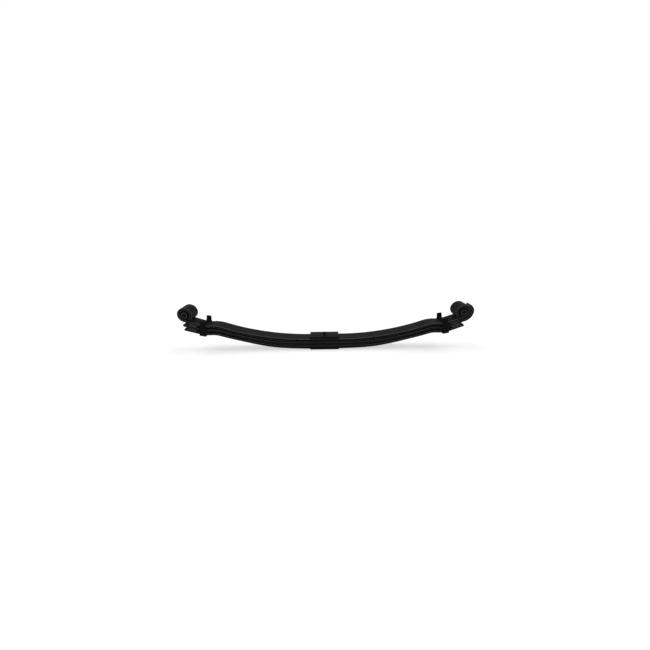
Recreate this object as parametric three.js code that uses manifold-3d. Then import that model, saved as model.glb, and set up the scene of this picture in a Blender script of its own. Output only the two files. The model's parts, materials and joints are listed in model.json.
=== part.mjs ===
// A heavy truck's front leaf spring: three parabolic leaves on one centre bolt, between two seat
// plates. The main leaf is rolled up into an eye at each end, and each eye holds a rubber bush. At
// the right end the second leaf runs on round the eye, as a safety wrapper. Two bolted clips keep
// the leaves in line, and pads near the tips keep them apart.
// Lengths are in millimetres and angles in degrees. +X runs along the spring to the wrapped eye and
// +Z is up. The origin is the centre of the bottom plate's underside, where the axle sits.

import * as THREE from "three";
import { mergeVertices } from "three/addons/utils/BufferGeometryUtils.js";
import Module from "manifold-3d";

const TOUCH_GAP = 0.3; // left open between pieces that touch

// The spring as a whole
const EYE_SPAN = 1796; // between the eyes' centres
const LEAF_WIDTH = 90;
const SEAT_LENGTH = 195; // the flat middle stretch that the axle's U-bolts clamp

// One leaf: thick at the seat, thinner outwards, even at the ends
const SEAT_THICKNESS = 21;
const END_THICKNESS = 14;

// The set: slopes that the leaf bends through from the seat outwards
const BODY_SLOPE = 19.3; // reached by the long even bend
const CRANK_SLOPE = -3; // after the short reverse bend
const END_SLOPE = 19.3; // of the straight run under the eye
const REVERSE_BEND_RADIUS = 200;
const FORWARD_BEND_RADIUS = 175;
const END_STRAIGHT = 100; // from the last bend to the foot of the eye

// Open space between the leaves
const SPACER_THICKNESS = 4; // at the seat
const BODY_GAP = 10; // half way out
const PAD_GAP = 13.5; // at the clips and the pads
const TIP_SPLAY = 5; // what one gap opens further at each end's tips

// Ends of the leaves
const EYE_BORE = 69;
const EYE_ROLL = 308; // angle that the main leaf is rolled through
const WRAP_CLEARANCE = 5; // between the eye and the second leaf round it
const WRAP_END_ANGLE = 37; // where the wrapper stops, above the horizontal
const WRAP_CORNER_CUT = 15; // taken off each corner of its end
const SECOND_TIP_SETBACK = 0; // plain tips stop this far short of the eye's foot
const THIRD_TIP_SETBACK = 12;

// Seat plates and centre bolt
const TOP_PLATE_THICKNESS = 14;
const BOTTOM_PLATE_THICKNESS = 6;
const PLATE_CHAMFER = 2.5;
const CENTRE_BOLT = 14; // diameter
const CENTRE_BOLT_CLEARANCE = 1; // on the diameter, in every hole that the bolt passes
const CENTRE_HEAD_FLARE = 6.5; // countersunk head, flush with the bottom plate
const CENTRE_HEAD_DEPTH = 5;
const CENTRE_NUT_FLATS = 22;
const CENTRE_NUT_HEIGHT = 13;
const CENTRE_WASHER = 28;
const CENTRE_WASHER_THICKNESS = 2.5;
const SPOT_FACE_CLEARANCE = 2; // round the washer, in the top plate
const SPOT_FACE_DEPTH = 1;
const BOLT_TIP = 4; // a bolt's end past its nut

// Eye bushes: a steel sleeve in the eye, rubber, and a longer steel sleeve round the pin
const OUTER_SLEEVE_WALL = 2.5;
const OUTER_SLEEVE_INSET = 1.5; // from the leaf's edge
const INNER_SLEEVE = 40;
const INNER_SLEEVE_BORE = 22;
const INNER_SLEEVE_PROUD = 4; // past the leaf's edge
const SLEEVE_CHAMFER = 1.2;
const RUBBER_LIP = 4; // how far the rubber stands out past the outer sleeve, at the inner one
const RUBBER_GROOVE = 5; // depth of the groove in the rubber's end

// Clips
const CLIP_FROM_FOOT = 126; // from the eye's foot back to the clip, along the main leaf
const STRAP_WIDTH = 40;
const STRAP_THICKNESS = 8;
const STRAP_SIDE_CLEARANCE = 1.5; // beside the leaves, and the radius of the strap's inner bend
const ARM_HEIGHT = 35; // above the main leaf
const ARM_TOP_WIDTH = 32;
const ARM_SHOULDER = 6; // height over which the arm narrows
const ARM_CORNER = 3.5; // radius
const CLIP_BOLT = 10;
const CLIP_BOLT_CLEARANCE = 1; // on the diameter, in the arms and the tube
const CLIP_TUBE_CLEARANCE = 1.75; // between the main leaf and the tube over it
const CLIP_HEAD_FLATS = 16;
const CLIP_HEAD_HEIGHT = 6.4;
const CLIP_NUT_HEIGHT = 8.4;
const CLIP_TUBE_WALL = 1.25;
const RIVET = 10;
const RIVET_HEAD_FLARE = 4.5; // round head under the strap
const RIVET_HEAD_HEIGHT = 5;
const RIVET_SINK_FLARE = 3; // countersunk upper end, flush with the third leaf
const RIVET_SINK_DEPTH = 4;

// Pads between the leaves
const PAD_FROM_FOOT = 60; // from the eye's foot back to the pad's middle
const PAD_LENGTH = 56;
const PAD_INSET = 5; // from the leaf's edges
const PAD_SPIGOT = 12;
const SPIGOT_SHORTFALL = 1.5; // the spigot stops this far inside its hole

// Flat steps along curves
const BODY_STEPS = 26;
const BEND_STEPS = 10;
const STRAIGHT_STEPS = 8;
const PAD_STEPS = 8;
const ROUND_STEPS = 40; // round a whole circle

const LEFT = { name: "left", sign: -1, wrapped: false };
const RIGHT = { name: "right", sign: 1, wrapped: true };
const MAIN_LEAF = 0;
const SECOND_LEAF = 1;
const THIRD_LEAF = 2;

const manifold = await Module();
manifold.setup();

// ---- Materials ----

function paintedSteel() {
  return new THREE.MeshStandardMaterial({ color: "#141416", roughness: 0.42, metalness: 0.1 });
}

function bareSteel() {
  return new THREE.MeshStandardMaterial({ color: "#5c5e60", roughness: 0.45, metalness: 0.9 });
}

function bushRubber() {
  return new THREE.MeshStandardMaterial({ color: "#0d0d0e", roughness: 0.8, metalness: 0 });
}

function padPlastic() {
  return new THREE.MeshStandardMaterial({ color: "#1a1a1b", roughness: 0.6, metalness: 0 });
}

// ---- Solids ----

function toSolid(geometry) {
  const loose = geometry.index ? geometry.toNonIndexed() : geometry;
  const bare = new THREE.BufferGeometry().setAttribute("position", loose.getAttribute("position"));
  const merged = mergeVertices(bare, 1e-4);
  const mesh = new manifold.Mesh({
    numProp: 3,
    vertProperties: merged.getAttribute("position").array,
    triVerts: new Uint32Array(merged.index.array),
  });
  return new manifold.Manifold(mesh);
}

function toGeometry(solid) {
  const mesh = solid.getMesh();
  const geometry = new THREE.BufferGeometry();
  geometry.setAttribute("position", new THREE.BufferAttribute(mesh.vertProperties, 3));
  geometry.setIndex(new THREE.BufferAttribute(mesh.triVerts, 1));
  geometry.computeVertexNormals();
  return geometry;
}

function cut(geometry, ...tools) {
  return toGeometry(tools.reduce((solid, tool) => solid.subtract(toSolid(tool)), toSolid(geometry)));
}

function join(geometry, ...others) {
  return toGeometry(others.reduce((solid, other) => solid.add(toSolid(other)), toSolid(geometry)));
}

function keepInside(geometry, limit) {
  return toGeometry(toSolid(geometry).intersect(toSolid(limit)));
}

// An outline in the XZ plane, made as thick as `width` and centred across Y.
function acrossWidth(outline, width) {
  const shape = outline instanceof THREE.Shape ? outline : new THREE.Shape(outline);
  const options = { depth: width, bevelEnabled: false, curveSegments: ROUND_STEPS / 4 };
  return new THREE.ExtrudeGeometry(shape, options).rotateX(Math.PI / 2).translate(0, width / 2, 0);
}

// A round bar along Z between two heights, or a tapered one.
function uprightBar(low, high, lowDiameter, highDiameter = lowDiameter) {
  const bar = new THREE.CylinderGeometry(highDiameter / 2, lowDiameter / 2, high - low, ROUND_STEPS);
  return bar.rotateX(Math.PI / 2).translate(0, 0, (low + high) / 2);
}

// A round bar along Y between two places.
function crossBar(from, to, diameter) {
  const bar = new THREE.CylinderGeometry(diameter / 2, diameter / 2, to - from, ROUND_STEPS);
  return bar.translate(0, (from + to) / 2, 0);
}

// A hexagon along Y between two places, as wide over its flats as given.
function crossHexagon(from, to, flats) {
  const corner = flats / Math.sqrt(3);
  const prism = new THREE.CylinderGeometry(corner, corner, to - from, 6);
  return prism.translate(0, (from + to) / 2, 0);
}

// A ring turned about Y, from corners given as [radius, place along Y] that go round its section.
function turnedRing(corners) {
  const points = [...corners, corners[0]].map(([radius, y]) => new THREE.Vector2(radius, y));
  return new THREE.LatheGeometry(points, ROUND_STEPS);
}

function node(name, geometry, material) {
  const mesh = new THREE.Mesh(geometry, material);
  mesh.name = name;
  return mesh;
}

// ---- The set of the leaves ----

const seatEdge = SEAT_LENGTH / 2;
const bodySlope = THREE.MathUtils.degToRad(BODY_SLOPE);
const crankSlope = THREE.MathUtils.degToRad(CRANK_SLOPE);
const endSlope = THREE.MathUtils.degToRad(END_SLOPE);

const centreHole = CENTRE_BOLT + CENTRE_BOLT_CLEARANCE;
const seatGap = SPACER_THICKNESS + 2 * TOUCH_GAP;
const thirdSeatBottom = BOTTOM_PLATE_THICKNESS + TOUCH_GAP;
const mainSeatCentre = thirdSeatBottom + 2.5 * SEAT_THICKNESS + 2 * seatGap;
const mainSeatTop = mainSeatCentre + SEAT_THICKNESS / 2;

const eyeInside = EYE_BORE / 2;
const eyeOutside = eyeInside + END_THICKNESS;
const eyeMiddle = eyeInside + END_THICKNESS / 2;

// The long body bend fills what the bends and the straight near the eye leave of the span.
const footX = EYE_SPAN / 2 + Math.sin(endSlope) * eyeMiddle;
const reverseX = REVERSE_BEND_RADIUS * (Math.sin(bodySlope) - Math.sin(crankSlope));
const forwardX = FORWARD_BEND_RADIUS * (Math.sin(endSlope) - Math.sin(crankSlope));
const straightX = END_STRAIGHT * Math.cos(endSlope);
const bodyRadius = (footX - seatEdge - reverseX - forwardX - straightX) / Math.sin(bodySlope);

// The main leaf's centre line from the middle of the seat to the eye's foot. Each stretch turns
// evenly from the slope before it to its own.
const STRETCHES = [
  { length: seatEdge, turn: 0, steps: 1 },
  { length: bodyRadius * bodySlope, turn: bodySlope, steps: BODY_STEPS },
  {
    length: REVERSE_BEND_RADIUS * (bodySlope - crankSlope),
    turn: crankSlope - bodySlope,
    steps: BEND_STEPS,
  },
  {
    length: FORWARD_BEND_RADIUS * (endSlope - crankSlope),
    turn: endSlope - crankSlope,
    steps: BEND_STEPS,
  },
  { length: END_STRAIGHT, turn: 0, steps: STRAIGHT_STEPS },
];
const footArc = STRETCHES.reduce((sum, stretch) => sum + stretch.length, 0);
const clipArc = footArc - CLIP_FROM_FOOT;
const padArc = footArc - PAD_FROM_FOOT;
const bodyMiddleArc = seatEdge + STRETCHES[1].length / 2;

function centreLine(arc) {
  const place = { x: 0, z: mainSeatCentre, slope: 0 };
  let left = arc;
  for (const stretch of STRETCHES) {
    const length = Math.min(left, stretch.length);
    const turn = (stretch.turn * length) / stretch.length;
    const chord = turn === 0 ? length : (length * Math.sin(turn / 2)) / (turn / 2);
    place.x += chord * Math.cos(place.slope + turn / 2);
    place.z += chord * Math.sin(place.slope + turn / 2);
    place.slope += turn;
    left -= length;
  }
  return place;
}

// A parabolic leaf is as strong all along: its thickness falls with the root of the distance left.
function thicknessAt(arc) {
  const left = Math.max(footArc - Math.max(arc, seatEdge), 0) / (footArc - seatEdge);
  return Math.max(SEAT_THICKNESS * Math.sqrt(left), END_THICKNESS);
}

function blend(arc, fromArc, toArc, from, to) {
  return THREE.MathUtils.lerp(from, to, THREE.MathUtils.smoothstep(arc, fromArc, toArc));
}

// The open space under one leaf. Past the clip the wrapped second leaf closes up to the eye, and one
// gap opens further at each end: over the plain tip of the second leaf, or under the wrapped one.
function gapUnder(leaf, arc, end) {
  if (arc > clipArc) {
    const opens = leaf === (end.wrapped ? SECOND_LEAF : MAIN_LEAF);
    const closes = end.wrapped && leaf === MAIN_LEAF;
    const last = opens ? PAD_GAP + TIP_SPLAY : closes ? WRAP_CLEARANCE : PAD_GAP;
    return blend(arc, clipArc, footArc, PAD_GAP, last);
  }
  if (arc > bodyMiddleArc) return blend(arc, bodyMiddleArc, clipArc, BODY_GAP, PAD_GAP);
  return blend(arc, seatEdge, bodyMiddleArc, seatGap, BODY_GAP);
}

// How far a leaf's upper face lies under the main leaf's centre line, square to it.
function topDepth(leaf, arc, end) {
  let depth = -thicknessAt(arc) / 2;
  for (let above = MAIN_LEAF; above < leaf; above += 1) {
    depth += thicknessAt(arc) + gapUnder(above, arc, end);
  }
  return depth;
}

function bottomDepth(leaf, arc, end) {
  return topDepth(leaf, arc, end) + thicknessAt(arc);
}

// The point in the XZ plane at a depth under the main leaf's centre line.
function underLine(arc, depth, end) {
  const line = centreLine(arc);
  const x = line.x + Math.sin(line.slope) * depth;
  return new THREE.Vector2(end.sign * x, line.z - Math.cos(line.slope) * depth);
}

// Moves a piece from a frame that is square to the leaves to its place under the main leaf.
function setPlace(object, arc, depth, end) {
  const point = underLine(arc, depth, end);
  object.position.set(point.x, 0, point.y);
  object.rotation.y = -end.sign * centreLine(arc).slope;
  object.updateMatrix();
  return object;
}

function toolAt(geometry, arc, depth, end) {
  return geometry.applyMatrix4(setPlace(new THREE.Object3D(), arc, depth, end).matrix);
}

// ---- Leaves ----

const foot = centreLine(footArc);
const eyeCentreZ = foot.z + Math.cos(endSlope) * eyeMiddle;

function aroundEye(radius, angle, end) {
  const x = EYE_SPAN / 2 + radius * Math.cos(angle);
  return new THREE.Vector2(end.sign * x, eyeCentreZ + radius * Math.sin(angle));
}

// Stations from the seat's edge outwards, close together where the leaf bends.
function stationsTo(lastArc) {
  const stations = [seatEdge];
  let start = seatEdge;
  for (const { length, steps } of STRETCHES.slice(1)) {
    for (let i = 1; i <= steps; i += 1) stations.push(start + (length * i) / steps);
    start += length;
  }
  return [...stations.filter((arc) => arc < lastArc - 1), lastArc];
}

// One half of a leaf: its upper and lower faces from the seat's edge to the tip.
function leafHalf(leaf, end) {
  const rolled = leaf === MAIN_LEAF || (leaf === SECOND_LEAF && end.wrapped);
  const setback = leaf === SECOND_LEAF ? SECOND_TIP_SETBACK : THIRD_TIP_SETBACK;
  const stations = stationsTo(rolled ? footArc : footArc - setback);
  const upper = stations.map((arc) => underLine(arc, topDepth(leaf, arc, end), end));
  const lower = stations.map((arc) => underLine(arc, bottomDepth(leaf, arc, end), end));
  if (rolled) {
    const clearance = leaf === MAIN_LEAF ? 0 : END_THICKNESS + WRAP_CLEARANCE;
    const start = endSlope - Math.PI / 2;
    const wrap = THREE.MathUtils.degToRad(WRAP_END_ANGLE) - start;
    const sweep = leaf === MAIN_LEAF ? THREE.MathUtils.degToRad(EYE_ROLL) : wrap;
    const steps = Math.ceil((ROUND_STEPS * sweep) / (2 * Math.PI));
    for (let i = 1; i <= steps; i += 1) {
      const angle = start + (sweep * i) / steps;
      upper.push(aroundEye(eyeInside + clearance, angle, end));
      lower.push(aroundEye(eyeOutside + clearance, angle, end));
    }
  }
  return { upper, lower };
}

function leafBlank(leaf) {
  const left = leafHalf(leaf, LEFT);
  const right = leafHalf(leaf, RIGHT);
  const outline = [...right.upper, ...right.lower.reverse(), ...left.lower, ...left.upper.reverse()];
  const blank = acrossWidth(outline.reverse(), LEAF_WIDTH);
  return cut(blank, uprightBar(0, mainSeatTop + 1, centreHole));
}

// What is trimmed off the wrapper's end to cut its two corners: a band past the end, with a slanting
// edge at each side. It is drawn across the leaf and along it, and stands square to the leaf.
function wrapCornerTool() {
  const side = LEAF_WIDTH / 2 + 1;
  const reach = WRAP_CORNER_CUT + 1;
  const band = new THREE.Shape([
    new THREE.Vector2(-side, -reach),
    new THREE.Vector2(1 - side + reach, 1),
    new THREE.Vector2(side - reach - 1, 1),
    new THREE.Vector2(side, -reach),
    new THREE.Vector2(side, 2),
    new THREE.Vector2(-side, 2),
  ]);
  const margin = END_THICKNESS / 2;
  const depth = END_THICKNESS + 2 * margin;
  const angle = THREE.MathUtils.degToRad(WRAP_END_ANGLE);
  const across = new THREE.Vector3(0, 1, 0);
  const along = new THREE.Vector3(-Math.sin(angle), 0, Math.cos(angle));
  const outward = new THREE.Vector3(Math.cos(angle), 0, Math.sin(angle));
  const start = eyeOutside + WRAP_CLEARANCE - margin;
  const place = new THREE.Matrix4().makeBasis(across, along, outward);
  place.setPosition(EYE_SPAN / 2 + outward.x * start, 0, eyeCentreZ + outward.z * start);
  return new THREE.ExtrudeGeometry(band, { depth, bevelEnabled: false }).applyMatrix4(place);
}

// A hole for a bar of the given diameter that widens to a countersink below `top`.
function sunkHole(low, top, diameter, flare, depth) {
  const narrow = diameter + 2 * TOUCH_GAP;
  const wide = narrow + 2 * flare;
  const sinkFloor = top - depth;
  const hole = uprightBar(low, top, narrow);
  const cone = uprightBar(sinkFloor, top, narrow, wide);
  const mouth = uprightBar(top - TOUCH_GAP, top + 1, wide);
  return join(hole, cone, mouth);
}

function rivetHole(end) {
  const top = END_THICKNESS - TOUCH_GAP;
  const tool = sunkHole(-END_THICKNESS, top, RIVET, RIVET_SINK_FLARE, RIVET_SINK_DEPTH + TOUCH_GAP);
  return toolAt(tool, clipArc, bottomDepth(THIRD_LEAF, clipArc, end), end);
}

function spigotHole(leaf, end) {
  const tool = uprightBar(-2 * END_THICKNESS, END_THICKNESS, PAD_SPIGOT + 2 * TOUCH_GAP);
  return toolAt(tool, padArc, topDepth(leaf, padArc, end), end);
}

function addLeaves(spring) {
  spring.add(node("main_leaf", leafBlank(MAIN_LEAF), paintedSteel()));

  const secondTools = [LEFT, RIGHT].map((end) => spigotHole(SECOND_LEAF, end));
  const second = cut(leafBlank(SECOND_LEAF), wrapCornerTool(), ...secondTools);
  spring.add(node("second_leaf", second, paintedSteel()));

  const thirdTools = [LEFT, RIGHT].flatMap((end) => [spigotHole(THIRD_LEAF, end), rivetHole(end)]);
  spring.add(node("third_leaf", cut(leafBlank(THIRD_LEAF), ...thirdTools), paintedSteel()));
}

// ---- Seat plates and centre bolt ----

function seatPlate(low, thickness, chamfer) {
  const x = SEAT_LENGTH / 2;
  const high = low + thickness;
  const outline = [
    [-x, low + chamfer],
    [-x + chamfer, low],
    [x - chamfer, low],
    [x, low + chamfer],
    [x, high - chamfer],
    [x - chamfer, high],
    [-x + chamfer, high],
    [-x, high - chamfer],
  ];
  const plate = acrossWidth(outline.map(([px, pz]) => new THREE.Vector2(px, pz)), LEAF_WIDTH);
  return cut(plate, uprightBar(low - 1, high + 1, centreHole));
}

function addSeat(spring) {
  // The head's seat is drawn upside down, from the plate's underside up.
  const plateDepth = -BOTTOM_PLATE_THICKNESS;
  const seatFlare = CENTRE_HEAD_FLARE;
  const headSeat = sunkHole(plateDepth, -TOUCH_GAP, CENTRE_BOLT, seatFlare, CENTRE_HEAD_DEPTH);
  headSeat.rotateX(Math.PI);
  const bottomPlate = cut(seatPlate(0, BOTTOM_PLATE_THICKNESS, PLATE_CHAMFER), headSeat);
  spring.add(node("bottom_plate", bottomPlate, paintedSteel()));

  const lowerSpacer = thirdSeatBottom + SEAT_THICKNESS + TOUCH_GAP;
  const upperSpacer = lowerSpacer + SPACER_THICKNESS + 2 * TOUCH_GAP + SEAT_THICKNESS;
  const spacerChamfer = SPACER_THICKNESS / 4;
  const lower = seatPlate(lowerSpacer, SPACER_THICKNESS, spacerChamfer);
  const upper = seatPlate(upperSpacer, SPACER_THICKNESS, spacerChamfer);
  spring.add(node("centre_spacer_lower", lower, paintedSteel()));
  spring.add(node("centre_spacer_upper", upper, paintedSteel()));

  const plateLow = mainSeatTop + TOUCH_GAP;
  const plateHigh = plateLow + TOP_PLATE_THICKNESS;
  const spotFloor = plateHigh - SPOT_FACE_DEPTH;
  const spotWidth = CENTRE_WASHER + 2 * SPOT_FACE_CLEARANCE;
  const topPlate = seatPlate(plateLow, TOP_PLATE_THICKNESS, PLATE_CHAMFER);
  const spotFaced = cut(topPlate, uprightBar(spotFloor, plateHigh + 1, spotWidth));
  spring.add(node("top_plate", spotFaced, paintedSteel()));

  const washer = spotFloor + TOUCH_GAP;
  const nut = washer + CENTRE_WASHER_THICKNESS + TOUCH_GAP;
  const nutTop = nut + CENTRE_NUT_HEIGHT;

  const disc = uprightBar(washer, washer + CENTRE_WASHER_THICKNESS, CENTRE_WASHER);
  const washerHole = uprightBar(washer - 1, nut, centreHole);
  spring.add(node("centre_washer", cut(disc, washerHole), paintedSteel()));

  const hexagon = crossHexagon(nut, nutTop, CENTRE_NUT_FLATS).rotateX(Math.PI / 2);
  const nutHole = uprightBar(nut - 1, nutTop + 1, CENTRE_BOLT + 2 * TOUCH_GAP);
  spring.add(node("centre_nut", cut(hexagon, nutHole), paintedSteel()));

  const headWidth = CENTRE_BOLT + 2 * CENTRE_HEAD_FLARE;
  const head = uprightBar(0, CENTRE_HEAD_DEPTH, headWidth, CENTRE_BOLT);
  const shank = uprightBar(CENTRE_HEAD_DEPTH / 2, nutTop + BOLT_TIP, CENTRE_BOLT);
  spring.add(node("centre_bolt", join(head, shank), paintedSteel()));
}

// ---- Eye bushes ----

function sleeve(inside, outside, half) {
  const c = SLEEVE_CHAMFER;
  return turnedRing([
    [inside, -half + c],
    [inside + c, -half],
    [outside - c, -half],
    [outside, -half + c],
    [outside, half - c],
    [outside - c, half],
    [inside + c, half],
    [inside, half - c],
  ]);
}

function addBush(spring, end) {
  const bush = new THREE.Group();
  bush.position.set((end.sign * EYE_SPAN) / 2, 0, eyeCentreZ);

  const outerHalf = LEAF_WIDTH / 2 - OUTER_SLEEVE_INSET;
  const outerOutside = eyeInside * Math.cos(Math.PI / ROUND_STEPS) - TOUCH_GAP;
  const outerInside = outerOutside - OUTER_SLEEVE_WALL;
  const outer = sleeve(outerInside, outerOutside, outerHalf);
  bush.add(node(`${end.name}_bush_outer_sleeve`, outer, bareSteel()));

  // The rubber is bonded to both sleeves. Its ends stand out at the inner sleeve, with a groove.
  const rubberOutside = outerInside * Math.cos(Math.PI / ROUND_STEPS) - TOUCH_GAP;
  const rubberInside = INNER_SLEEVE / 2 + TOUCH_GAP;
  const grooveRadius = (rubberInside + rubberOutside) / 2;
  const lip = outerHalf + RUBBER_LIP;
  const rubber = turnedRing([
    [rubberInside, -lip],
    [rubberInside + RUBBER_LIP / 2, -lip],
    [grooveRadius, -outerHalf + RUBBER_GROOVE],
    [rubberOutside, -outerHalf],
    [rubberOutside, outerHalf],
    [grooveRadius, outerHalf - RUBBER_GROOVE],
    [rubberInside + RUBBER_LIP / 2, lip],
    [rubberInside, lip],
  ]);
  bush.add(node(`${end.name}_bush_rubber`, rubber, bushRubber()));

  const inner = sleeve(INNER_SLEEVE_BORE / 2, INNER_SLEEVE / 2, LEAF_WIDTH / 2 + INNER_SLEEVE_PROUD);
  bush.add(node(`${end.name}_bush_inner_sleeve`, inner, bareSteel()));
  spring.add(bush);
}

// ---- Clips ----

const strapInside = LEAF_WIDTH / 2 + STRAP_SIDE_CLEARANCE;
const strapOutside = strapInside + STRAP_THICKNESS;

// The strap bent to a U round the leaves, seen along the spring. Its floor is at height zero less
// the gap that touching pieces keep.
function strapOutline(armTop) {
  const bend = STRAP_SIDE_CLEARANCE;
  const bendY = strapInside - bend;
  const bendZ = bend - TOUCH_GAP;
  const outerBend = bend + STRAP_THICKNESS;
  const outline = new THREE.Shape();
  outline.moveTo(strapOutside, armTop);
  outline.lineTo(strapInside, armTop);
  outline.lineTo(strapInside, bendZ);
  outline.absarc(bendY, bendZ, bend, 0, -Math.PI / 2, true);
  outline.lineTo(-bendY, bendZ - bend);
  outline.absarc(-bendY, bendZ, bend, -Math.PI / 2, -Math.PI, true);
  outline.lineTo(-strapInside, armTop);
  outline.lineTo(-strapOutside, armTop);
  outline.lineTo(-strapOutside, bendZ);
  outline.absarc(-bendY, bendZ, outerBend, Math.PI, (3 * Math.PI) / 2, false);
  outline.lineTo(bendY, bendZ - outerBend);
  outline.absarc(bendY, bendZ, outerBend, -Math.PI / 2, 0, false);
  return outline;
}

// The arms' side view: full width beside the leaves, narrower with round corners above them.
function armOutline(stackHeight, armTop) {
  const half = STRAP_WIDTH / 2;
  const topHalf = ARM_TOP_WIDTH / 2;
  const corner = ARM_CORNER;
  const low = -2 * STRAP_THICKNESS;
  const outline = new THREE.Shape();
  outline.moveTo(-half, low);
  outline.lineTo(half, low);
  outline.lineTo(half, stackHeight);
  outline.lineTo(topHalf, stackHeight + ARM_SHOULDER);
  outline.absarc(topHalf - corner, armTop - corner, corner, 0, Math.PI / 2, false);
  outline.absarc(-topHalf + corner, armTop - corner, corner, Math.PI / 2, Math.PI, false);
  outline.lineTo(-topHalf, stackHeight + ARM_SHOULDER);
  outline.lineTo(-half, stackHeight);
  return outline;
}

function rivetGeometry() {
  const headBase = -2 * TOUCH_GAP - STRAP_THICKNESS;
  const sinkTop = END_THICKNESS - TOUCH_GAP;
  const dome = [];
  const domeSteps = 5;
  for (let i = 0; i <= domeSteps; i += 1) {
    const angle = (Math.PI / 2) * (1 - i / domeSteps);
    const radius = (RIVET / 2 + RIVET_HEAD_FLARE) * Math.cos(angle);
    dome.push(new THREE.Vector2(radius, headBase - RIVET_HEAD_HEIGHT * Math.sin(angle)));
  }
  dome[0].x = 0;
  const shank = [
    new THREE.Vector2(RIVET / 2, headBase),
    new THREE.Vector2(RIVET / 2, sinkTop - RIVET_SINK_DEPTH),
    new THREE.Vector2(RIVET / 2 + RIVET_SINK_FLARE, sinkTop),
    new THREE.Vector2(0, sinkTop),
  ];
  return new THREE.LatheGeometry([...dome, ...shank], ROUND_STEPS / 2).rotateX(Math.PI / 2);
}

function addClip(spring, end) {
  const depth = bottomDepth(THIRD_LEAF, clipArc, end);
  const stackHeight = depth - topDepth(MAIN_LEAF, clipArc, end);
  const armTop = stackHeight + ARM_HEIGHT;
  const boltBore = CLIP_BOLT + CLIP_BOLT_CLEARANCE;
  const tubeRadius = boltBore / 2 + CLIP_TUBE_WALL;
  const boltZ = stackHeight + CLIP_TUBE_CLEARANCE + tubeRadius;
  const clip = setPlace(new THREE.Group(), clipArc, depth, end);

  const options = { depth: STRAP_WIDTH, bevelEnabled: false, curveSegments: ROUND_STEPS / 4 };
  const alongY = new THREE.Vector3(0, 1, 0);
  const alongZ = new THREE.Vector3(0, 0, 1);
  const alongX = new THREE.Vector3(1, 0, 0);
  const turn = new THREE.Matrix4().makeBasis(alongY, alongZ, alongX);
  const bent = new THREE.ExtrudeGeometry(strapOutline(armTop), options);
  bent.applyMatrix4(turn).translate(-STRAP_WIDTH / 2, 0, 0);
  const shaped = keepInside(bent, acrossWidth(armOutline(stackHeight, armTop), 4 * strapOutside));
  const boltHole = crossBar(-2 * strapOutside, 2 * strapOutside, boltBore).translate(0, 0, boltZ);
  const rivetHoleTool = uprightBar(-3 * STRAP_THICKNESS, STRAP_THICKNESS, RIVET + 2 * TOUCH_GAP);
  clip.add(node(`${end.name}_clip_strap`, cut(shaped, boltHole, rivetHoleTool), paintedSteel()));
  clip.add(node(`${end.name}_clip_rivet`, rivetGeometry(), paintedSteel()));

  const headFace = -strapOutside - TOUCH_GAP;
  const nutFace = strapOutside + TOUCH_GAP;
  const nutEnd = nutFace + CLIP_NUT_HEIGHT;
  const head = crossHexagon(headFace - CLIP_HEAD_HEIGHT, headFace, CLIP_HEAD_FLATS);
  const shank = crossBar(headFace - CLIP_HEAD_HEIGHT / 2, nutEnd + BOLT_TIP, CLIP_BOLT);
  const bolt = node(`${end.name}_clip_bolt`, join(head, shank), paintedSteel());
  const hexagon = crossHexagon(nutFace, nutEnd, CLIP_HEAD_FLATS);
  const nutHole = crossBar(nutFace - 1, nutEnd + 1, CLIP_BOLT + 2 * TOUCH_GAP);
  const nut = node(`${end.name}_clip_nut`, cut(hexagon, nutHole), paintedSteel());
  const tubeEnd = strapInside - TOUCH_GAP;
  const tubeRing = turnedRing([
    [boltBore / 2, -tubeEnd],
    [tubeRadius, -tubeEnd],
    [tubeRadius, tubeEnd],
    [boltBore / 2, tubeEnd],
  ]);
  const tube = node(`${end.name}_clip_spacer_tube`, tubeRing, paintedSteel());
  for (const piece of [bolt, nut, tube]) {
    piece.position.z = boltZ;
    clip.add(piece);
  }
  spring.add(clip);
}

// ---- Pads ----

// A pad fills the space under one leaf and stands in a hole of the leaf below it.
function padUnder(leaf, end) {
  const upper = [];
  const lower = [];
  for (let i = 0; i <= PAD_STEPS; i += 1) {
    const arc = padArc + PAD_LENGTH * (i / PAD_STEPS - 0.5);
    upper.push(underLine(arc, bottomDepth(leaf, arc, end) + TOUCH_GAP, end));
    lower.push(underLine(arc, topDepth(leaf + 1, arc, end) - TOUCH_GAP, end));
  }
  const outline = [...lower, ...upper.reverse()];
  const block = acrossWidth(end.sign > 0 ? outline : outline.reverse(), LEAF_WIDTH - 2 * PAD_INSET);
  const spigotEnd = SPIGOT_SHORTFALL - END_THICKNESS;
  const spigot = uprightBar(spigotEnd, 2 * TOUCH_GAP, PAD_SPIGOT);
  return join(block, toolAt(spigot, padArc, topDepth(leaf + 1, padArc, end), end));
}

function addPads(spring, end) {
  spring.add(node(`${end.name}_upper_pad`, padUnder(MAIN_LEAF, end), padPlastic()));
  spring.add(node(`${end.name}_lower_pad`, padUnder(SECOND_LEAF, end), padPlastic()));
}

// ---- The whole spring ----

const leafSpring = new THREE.Group();
addLeaves(leafSpring);
addSeat(leafSpring);
for (const end of [LEFT, RIGHT]) {
  addBush(leafSpring, end);
  addClip(leafSpring, end);
  addPads(leafSpring, end);
}

export default leafSpring;
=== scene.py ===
# A heavy truck's front leaf spring: three parabolic leaves on one centre bolt, rolled up into two
# bushed eyes, with two bolted clips and four pads, under one coat of satin black chassis paint.
# Lengths are in metres. +X runs to the wrapped eye, +Z is up, and the axle sits at the origin.

import json
import math

import bmesh
import bpy
from mathutils import Matrix, Vector


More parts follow.
